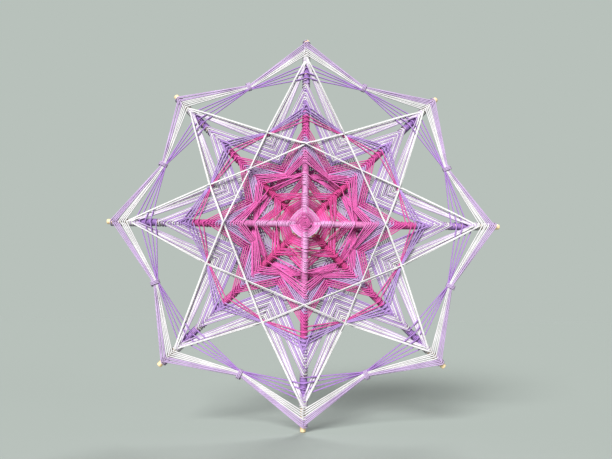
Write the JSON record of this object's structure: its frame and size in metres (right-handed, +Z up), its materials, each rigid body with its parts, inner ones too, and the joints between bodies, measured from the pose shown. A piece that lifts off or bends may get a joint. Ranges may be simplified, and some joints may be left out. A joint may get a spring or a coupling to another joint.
{
  "type": "yarn mandala",
  "caption": "Ojo de dios wall hanging: crossed wooden sticks wound with pink, purple and white yarn into nested stars, webs and a gathered rim.",
  "frame": {"origin": "the hub, where the sticks cross, midway through their stack", "axes": "+Z up along the upright stick, +X to the right seen from the front, the front faces -Y"},
  "size_m": [0.3, 0.0302, 0.3],
  "materials": {
    "wood": "bare, fine-grained",
    "mauve_yarn": "matt plied yarn",
    "pink_yarn": "matt plied yarn",
    "light_pink_yarn": "matt plied yarn",
    "periwinkle_yarn": "matt plied yarn",
    "magenta_yarn": "matt plied yarn",
    "lilac_yarn": "matt plied yarn",
    "purple_yarn": "matt plied yarn",
    "violet_yarn": "matt plied yarn",
    "white_yarn": "matt plied yarn"
  },
  "bodies": {
    "root": {"upright_stick": "wood", "rising_stick": "wood", "level_stick": "wood", "falling_stick": "wood", "eye_centre": "mauve_yarn", "eye_ring": "light_pink_yarn", "inner_web": "pink_yarn", "front_square": "pink_yarn", "back_square": "pink_yarn", "pink_web": "pink_yarn", "pink_star": "light_pink_yarn", "periwinkle_star": "periwinkle_yarn", "magenta_star": "magenta_yarn", "magenta_web": "magenta_yarn", "purple_web": "purple_yarn", "lilac_star": "lilac_yarn", "violet_web": "violet_yarn", "white_star": "white_yarn", "white_thread": "white_yarn", "white_rim": "white_yarn", "lilac_rim": "lilac_yarn", "tie_1": "lilac_yarn", "tie_2": "lilac_yarn", "tie_3": "lilac_yarn", "tie_4": "lilac_yarn", "tie_5": "lilac_yarn", "tie_6": "lilac_yarn", "tie_7": "lilac_yarn", "tie_8": "lilac_yarn"}
  },
  "joints": []
}
